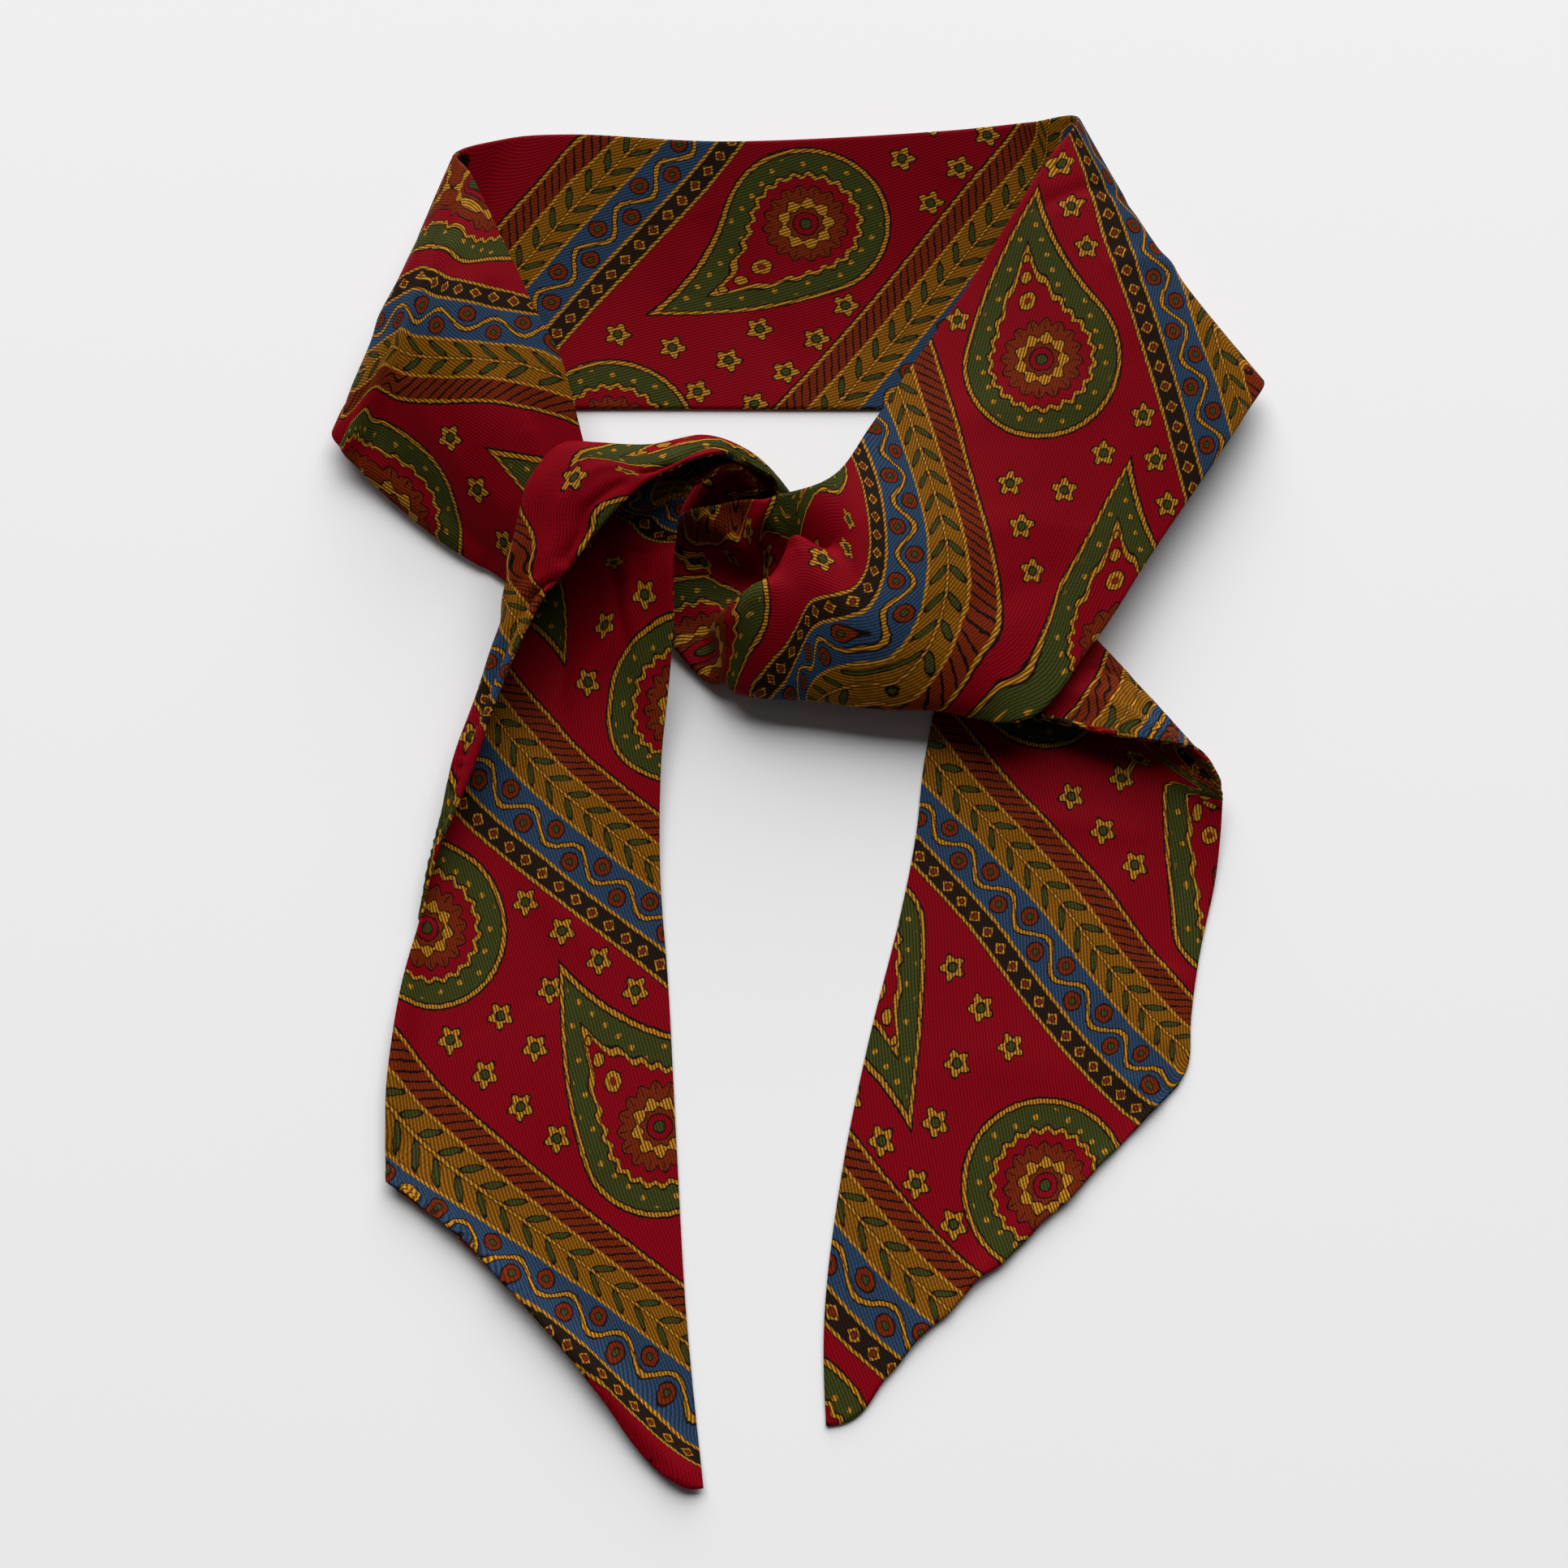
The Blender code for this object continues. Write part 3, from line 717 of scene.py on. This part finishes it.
def print_stripes(ink, x, y):
    """A bundle of ornamental stripes: beads, a wavy vine with berries, leaves and a rope."""
    across = x.wrapped(STRIPE_REPEAT / 2)
    ink.lay(inside(abs(across) - STRIPE_REACH), "Line")
    beads = across + 10.6
    ink.lay(inside(abs(beads) - 2.3), "Brown")
    ink.lined(abs(beads) + abs(y.wrapped(2.1)) - 1.35, "Gold", 0.2)
    ink.lined(beads.reach(y.wrapped(2.1)) - 0.5, "Rust", 0.2)
    vine = across + 3.9
    ink.lay(inside(abs(vine) - 4.0), "Blue")
    wave = (y * (2 * math.pi / 12)).cos() * 1.8
    ink.lined(abs(vine - wave) - 0.42, "Gold", 0.3)
    ink.lined((vine + 1.6).reach(y.wrapped(6)) - 1.6, "Rust")
    ink.lined((vine + 1.6).reach(y.wrapped(6)) - 0.6, "Olive", 0.2)
    ink.lined((vine - 1.6).reach((y + 6).wrapped(6)) - 1.6, "Rust")
    ink.lined((vine - 1.6).reach((y + 6).wrapped(6)) - 0.6, "Olive", 0.2)
    leaves = abs(across - 4.1)
    ink.lay(inside(leaves - 3.3), "Ochre")
    leaf = ((leaves - 1.7) * 0.62).reach((y + leaves * 1.1).wrapped(2.6)) - 0.75
    ink.lined(leaf.above(leaves - 3.0), "Olive", 0.28)
    ink.lined(leaves - 0.22, "Gold", 0.16)
    rope = abs(across - 10.1) - 2.2
    ink.lay(inside(rope), "Rust")
    ink.lay(inside((abs((y + across * 1.2).wrapped(1.1)) - 0.26).above(rope)), "Line")
    for line in (-12.7, -8.2, 0.4, 7.8, 12.5):
        ink.lay(inside(abs(across - line) - 0.3), "Gold")


def paisley(x, y):
    """Places within a large bent drop, and the distance from its outline."""
    px, py, odd = cell(x + STRIPE_REPEAT / 2, y, STRIPE_REPEAT, PAISLEY_REPEAT)
    turned = odd * -2 + 1
    px, py = px * turned, py * turned + 8.5
    bent = px - (py - 2).above(0).math("POWER", 2) * 0.0105
    side = abs(bent)
    out = bent.reach(py)
    cone = side * 0.884 + py * 0.468
    rising = (py * 0.884 - side * 0.468).math("GREATER_THAN", 0)
    return px, py, bent, out, out + rising * (cone - out) - PAISLEY_REACH


def print_paisleys(ink, x, y):
    """Large bent drops with a dotted border and a flower in the round end."""
    px, py, bent, out, drop = paisley(x, y)
    ink.lay(inside(drop - 0.4), "Line")
    ink.lay(inside(drop), "Gold")
    ink.lay(inside(drop + 0.75), "Line")
    ink.lay(inside(drop + 1.05), "Olive")
    dot_x, dot_y, _ = cell(px, py, 4.0, 3.4)
    ink.lay(inside((dot_x.reach(dot_y) - 0.5).above(drop + 1.7)), "Gold")
    turn = py.angle(bent)
    scallop = drop + 5.6 + (turn * 22).cos() * 0.4
    ink.lay(inside(scallop - 0.6), "Line")
    ink.lay(inside(scallop - 0.25), "Gold")
    ink.lay(inside(scallop + 0.55), "Line")
    ink.lay(inside(scallop + 0.8), "Crimson")
    ink.lined(out - abs((turn * 8).cos()) * 1.3 - 6.9, "Rust", 0.34)
    veins = abs((turn * 8 + math.pi / 2).cos()) * 9 - 0.9
    ink.lay(inside(veins.above(out * -1 + 6.2).above(out - 7.9)), "Line")
    ink.lined(out - (turn * 9 + math.pi).cos() * 0.6 - 5.0, "Gold")
    ink.lined(out - (turn * 9).cos() * 0.3 - 3.3, "Rust")
    ink.lined(out - 2.3, "Crimson")
    ink.lined(out - 1.0, "Olive")
    seed_y = py - 12.6
    ink.lined(bent.reach(seed_y) - 1.7, "Gold")
    ink.lay(inside(bent.reach(seed_y) - 0.8), "Rust")
    ink.lined(bent.reach(seed_y - 4.8) - 1.1, "Gold")
    ink.lined(bent.reach(seed_y - 8.6) - 0.7, "Gold")


def socket(group, name, kind, flow="INPUT", value=None):
    """Give a group an input, or an output where the flow says so."""
    made = group.interface.new_socket(name=name, in_out=flow, socket_type=kind)
    if value is not None:
        made.default_value = value


def print_group(colours):
    """The printed design: its colour at a place on the cloth."""
    group = bpy.data.node_groups.new("silk_print", "ShaderNodeTree")
    socket(group, "Cloth", "NodeSocketVector")
    for name in PALETTE:
        socket(group, name, "NodeSocketColor", value=(*getattr(colours, name.lower()), 1))
    socket(group, "Color", "NodeSocketColor", "OUTPUT")
    inputs = group.nodes.new("NodeGroupInput")
    outputs = group.nodes.new("NodeGroupOutput")
    split = group.nodes.new("ShaderNodeSeparateXYZ")
    group.links.new(inputs.outputs["Cloth"], split.inputs[0])
    blur = group.nodes.new("ShaderNodeTexNoise")
    blur.noise_dimensions = "2D"
    blur.inputs["Scale"].default_value = STRAY_SCALE
    blur.inputs["Detail"].default_value = 1
    group.links.new(inputs.outputs["Cloth"], blur.inputs["Vector"])
    stray = group.nodes.new("ShaderNodeSeparateColor")
    group.links.new(blur.outputs["Color"], stray.inputs[0])
    across = Number(group, split.outputs[0]) / MM + (Number(group, stray.outputs[0]) - 0.5) * STRAY
    along = Number(group, split.outputs[1]) / MM + (Number(group, stray.outputs[1]) - 0.5) * STRAY
    along = along / BIAS_STRETCH
    x = across * math.cos(STRIPE_TURN) + along * math.sin(STRIPE_TURN)
    y = along * math.cos(STRIPE_TURN) - across * math.sin(STRIPE_TURN)
    ink = Ink(group, inputs.outputs, "Crimson")
    print_florets(ink, x, y)
    print_stripes(ink, x, y)
    print_paisleys(ink, x, y)
    group.links.new(ink.colour, outputs.inputs["Color"])
    return group


# The weave: the distance between its ribs in millimetres, how far ribs and threads slant, and how
# long a thread floats, in ribs.
RIB_PITCH = 0.66
RIB_SLANT = 0.3
THREAD_SLANT = 0.55
FLOAT_LENGTH = 1.35
FLOAT_SHARE = 0.3

# How strongly the ribs show in the print's colour. This is partly the weave's own darker gaps, and
# partly painted shade between the ribs with a painted highlight on their tops. Light inks, which have
# more green, show them more.
RIB_MEAN = 0.42
RIB_CONTRAST = 2.2
DARK_CONTRAST = 0.35
LIGHT_CONTRAST = 0.55
LIGHT_GAIN = 4


def twill_group():
    """The twill weave: a rib height from 0 to 1 at a place on the cloth."""
    group = bpy.data.node_groups.new("silk_twill", "ShaderNodeTree")
    socket(group, "Cloth", "NodeSocketVector")
    socket(group, "Pitch", "NodeSocketFloat", value=RIB_PITCH * MM)
    socket(group, "Height", "NodeSocketFloat", "OUTPUT")
    inputs = group.nodes.new("NodeGroupInput")
    outputs = group.nodes.new("NodeGroupOutput")
    split = group.nodes.new("ShaderNodeSeparateXYZ")
    group.links.new(inputs.outputs["Cloth"], split.inputs[0])
    across = Number(group, split.outputs[0])
    along = Number(group, split.outputs[1])
    pitch = Number(group, inputs.outputs["Pitch"])
    rib = (across + along * RIB_SLANT) / pitch
    thread = (along - across * THREAD_SLANT) / pitch
    ribs = (rib * (2 * math.pi)).cos() * 0.5 + 0.5
    floats = (thread * (2 * math.pi / FLOAT_LENGTH)).cos() * 0.5 + 0.5
    height = ribs * (1 - FLOAT_SHARE) + ribs * floats * FLOAT_SHARE
    group.links.new(height.socket, outputs.inputs["Height"])
    return group


def place_group(tree, group, **links):
    """A node that stands for a group in a tree, with its inputs linked."""
    node = tree.nodes.new("ShaderNodeGroup")
    node.node_tree = group
    for name, value in links.items():
        tree.links.new(value, node.inputs[name])
    return node


def printed_silk(colours):
    """Printed silk twill: one material for all the cloth."""
    material = bpy.data.materials.get("printed_silk")
    if material:
        return material
    material = bpy.data.materials.new("printed_silk")
    material.use_nodes = True
    tree = material.node_tree
    shader = tree.nodes["Principled BSDF"]
    uv = tree.nodes.new("ShaderNodeUVMap")
    uv.uv_map = "cloth"
    cloth = uv.outputs["UV"]
    printed = place_group(tree, print_group(colours), Cloth=cloth)
    twill = place_group(tree, twill_group(), Cloth=cloth)
    rib = Number(tree, twill.outputs["Height"])
    inks = tree.nodes.new("ShaderNodeSeparateColor")
    tree.links.new(printed.outputs["Color"], inks.inputs[0])
    lightness = Number(tree, inks.outputs[1]) * LIGHT_GAIN
    contrast = lightness.below(LIGHT_CONTRAST) + DARK_CONTRAST
    shade = tree.nodes.new("ShaderNodeMix")
    shade.data_type = "RGBA"
    shade.blend_type = "MULTIPLY"
    shade.inputs["Factor"].default_value = 1.0
    tree.links.new(printed.outputs["Color"], shade.inputs[6])
    # Painted shade between the ribs and a painted highlight on their tops, over the weave's own
    # darker gaps, multiply the print's colour.
    light = (rib - RIB_MEAN) * contrast * RIB_CONTRAST + 1
    tree.links.new(light.socket, shade.inputs[7])
    tree.links.new(shade.outputs[2], shader.inputs["Base Color"])
    bump = tree.nodes.new("ShaderNodeBump")
    bump.inputs["Distance"].default_value = 0.05 * MM
    bump.inputs["Strength"].default_value = 0.6
    tree.links.new(twill.outputs["Height"], bump.inputs["Height"])
    tree.links.new(bump.outputs["Normal"], shader.inputs["Normal"])
    shader.inputs["Roughness"].default_value = 0.62
    shader.inputs["Specular IOR Level"].default_value = 0.03
    shader.inputs["Sheen Weight"].default_value = 0.01
    shader.inputs["Sheen Roughness"].default_value = 0.4
    return material


class SCARF_OT_loop(bpy.types.Operator):
    """Make the neck loop with its pleated end."""

    bl_idname = "scarf.loop"
    bl_label = "Neck loop"

    def execute(self, context):
        sizes = context.scene.scarf_sizes
        grid = press_creases(cloth_grid(rows_of(GATHER + LOOP), sizes), LOOP_CREASES, sizes)
        piece = cloth_piece(context, "scarf_loop", grid)
        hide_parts("knot_gather", "right_side", "right_fold", "back_band", "left_fold",
                    "left_side")
        declare_sheet(grid, sizes)
        return {"FINISHED"}


class SCARF_OT_left_tail(bpy.types.Operator):
    """Make the left tail with the strand that rises to it out of the knot."""

    bl_idname = "scarf.left_tail"
    bl_label = "Left tail"

    def execute(self, context):
        sizes = context.scene.scarf_sizes
        grid = press_creases(cloth_grid(rows_of(TAIL), sizes), LEFT_CREASES, sizes, face=-1)
        grid = pucker_end(grid, LEFT_PUCKERS, sizes)
        piece = cloth_piece(context, "scarf_left_tail", grid)
        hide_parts("left_tail", "knot_wrap")
        declare_sheet(grid, sizes)
        return {"FINISHED"}


class SCARF_OT_right_tail(bpy.types.Operator):
    """Make the right tail with its turn."""

    bl_idname = "scarf.right_tail"
    bl_label = "Right tail"

    def execute(self, context):
        sizes = context.scene.scarf_sizes
        grid = press_creases(cloth_grid(rows_of(RIGHT_TAIL), sizes), RIGHT_CREASES, sizes)
        grid = pucker_end(grid, RIGHT_PUCKERS, sizes)
        piece = cloth_piece(context, "scarf_right_tail", grid)
        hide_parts("right_tail", "right_turn")
        declare_sheet(grid, sizes)
        return {"FINISHED"}


class SCARF_OT_core(bpy.types.Operator):
    """Make the pleated layers inside the knot."""

    bl_idname = "scarf.core"
    bl_label = "Knot core"

    def execute(self, context):
        sizes = context.scene.scarf_sizes
        grid = cloth_grid(core_rows(), sizes)
        piece = cloth_piece(context, "scarf_knot_core", grid)
        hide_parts("knot_core")
        declare_sheet(grid, sizes)
        return {"FINISHED"}


# The floor's side in metres, and the width of the camera's sensor in millimetres.
FLOOR_SIZE = 4
SENSOR_WIDTH = 36


class SCARF_OT_stage(bpy.types.Operator):
    """Set the floor, the light and the camera."""

    bl_idname = "scarf.stage"
    bl_label = "Stage"

    def execute(self, context):
        stage = context.scene.scarf_stage
        deselect()
        bpy.ops.mesh.primitive_plane_add(size=FLOOR_SIZE, location=(0, 0, 0))
        floor = context.object
        floor.name = "floor"
        material = bpy.data.materials.new("floor")
        material.use_nodes = True
        shader = material.node_tree.nodes["Principled BSDF"]
        shader.inputs["Base Color"].default_value = (*stage.floor, 1)
        shader.inputs["Roughness"].default_value = 0.9
        floor.data.materials.append(material)

        centre = np.array([-LAYOUT_CENTRE[0] * MM, -LAYOUT_CENTRE[1] * MM, 0])
        back = np.array([0, -math.sin(stage.tilt), math.cos(stage.tilt)])
        deselect()
        bpy.ops.object.camera_add(
            location=centre + back * stage.distance, rotation=(stage.tilt, 0, 0))
        camera = context.object
        camera.data.lens = stage.lens
        camera.data.sensor_width = SENSOR_WIDTH
        context.scene.camera = camera

        context.scene.view_settings.view_transform = "Standard"
        world = context.scene.world or bpy.data.worlds.new("studio")
        context.scene.world = world
        world.use_nodes = True
        background = world.node_tree.nodes["Background"]
        background.inputs["Color"].default_value = (1, 1, 1, 1)
        background.inputs["Strength"].default_value = stage.fill
        place = Vector(stage.light_place)
        deselect()
        bpy.ops.object.light_add(
            type="AREA", location=place, rotation=place.to_track_quat("Z", "Y").to_euler())
        light = context.object
        light.data.size = stage.light_size
        light.data.energy = stage.light_power
        return {"FINISHED"}


class SCARF_PT_panel(bpy.types.Panel):
    """Buttons for the scarf's pieces."""

    bl_idname = "SCARF_PT_panel"
    bl_label = "Silk scarf"
    bl_space_type = "VIEW_3D"
    bl_region_type = "UI"
    bl_category = "Silk scarf"

    def draw(self, context):
        for operator in OPERATORS:
            self.layout.operator(operator.bl_idname)
        for group in (context.scene.scarf_sizes, context.scene.scarf_stage):
            for name in group.__annotations__:
                self.layout.prop(group, name)


OPERATORS = (
    SCARF_OT_stage, SCARF_OT_core, SCARF_OT_loop, SCARF_OT_left_tail, SCARF_OT_right_tail)
CLASSES = (ScarfSizes, ScarfColours, StageSizes, *OPERATORS, SCARF_PT_panel)


def register():
    for kind in CLASSES:
        bpy.utils.register_class(kind)
    bpy.types.Scene.scarf_sizes = bpy.props.PointerProperty(type=ScarfSizes)
    bpy.types.Scene.scarf_colours = bpy.props.PointerProperty(type=ScarfColours)
    bpy.types.Scene.scarf_stage = bpy.props.PointerProperty(type=StageSizes)


def unregister():
    del bpy.types.Scene.scarf_stage
    del bpy.types.Scene.scarf_colours
    del bpy.types.Scene.scarf_sizes
    for kind in reversed(CLASSES):
        bpy.utils.unregister_class(kind)


def main():
    register()
    bpy.ops.scarf.stage()
    bpy.ops.scarf.core()
    bpy.ops.scarf.loop()
    bpy.ops.scarf.left_tail()
    bpy.ops.scarf.right_tail()


if __name__ == "__main__":
    main()
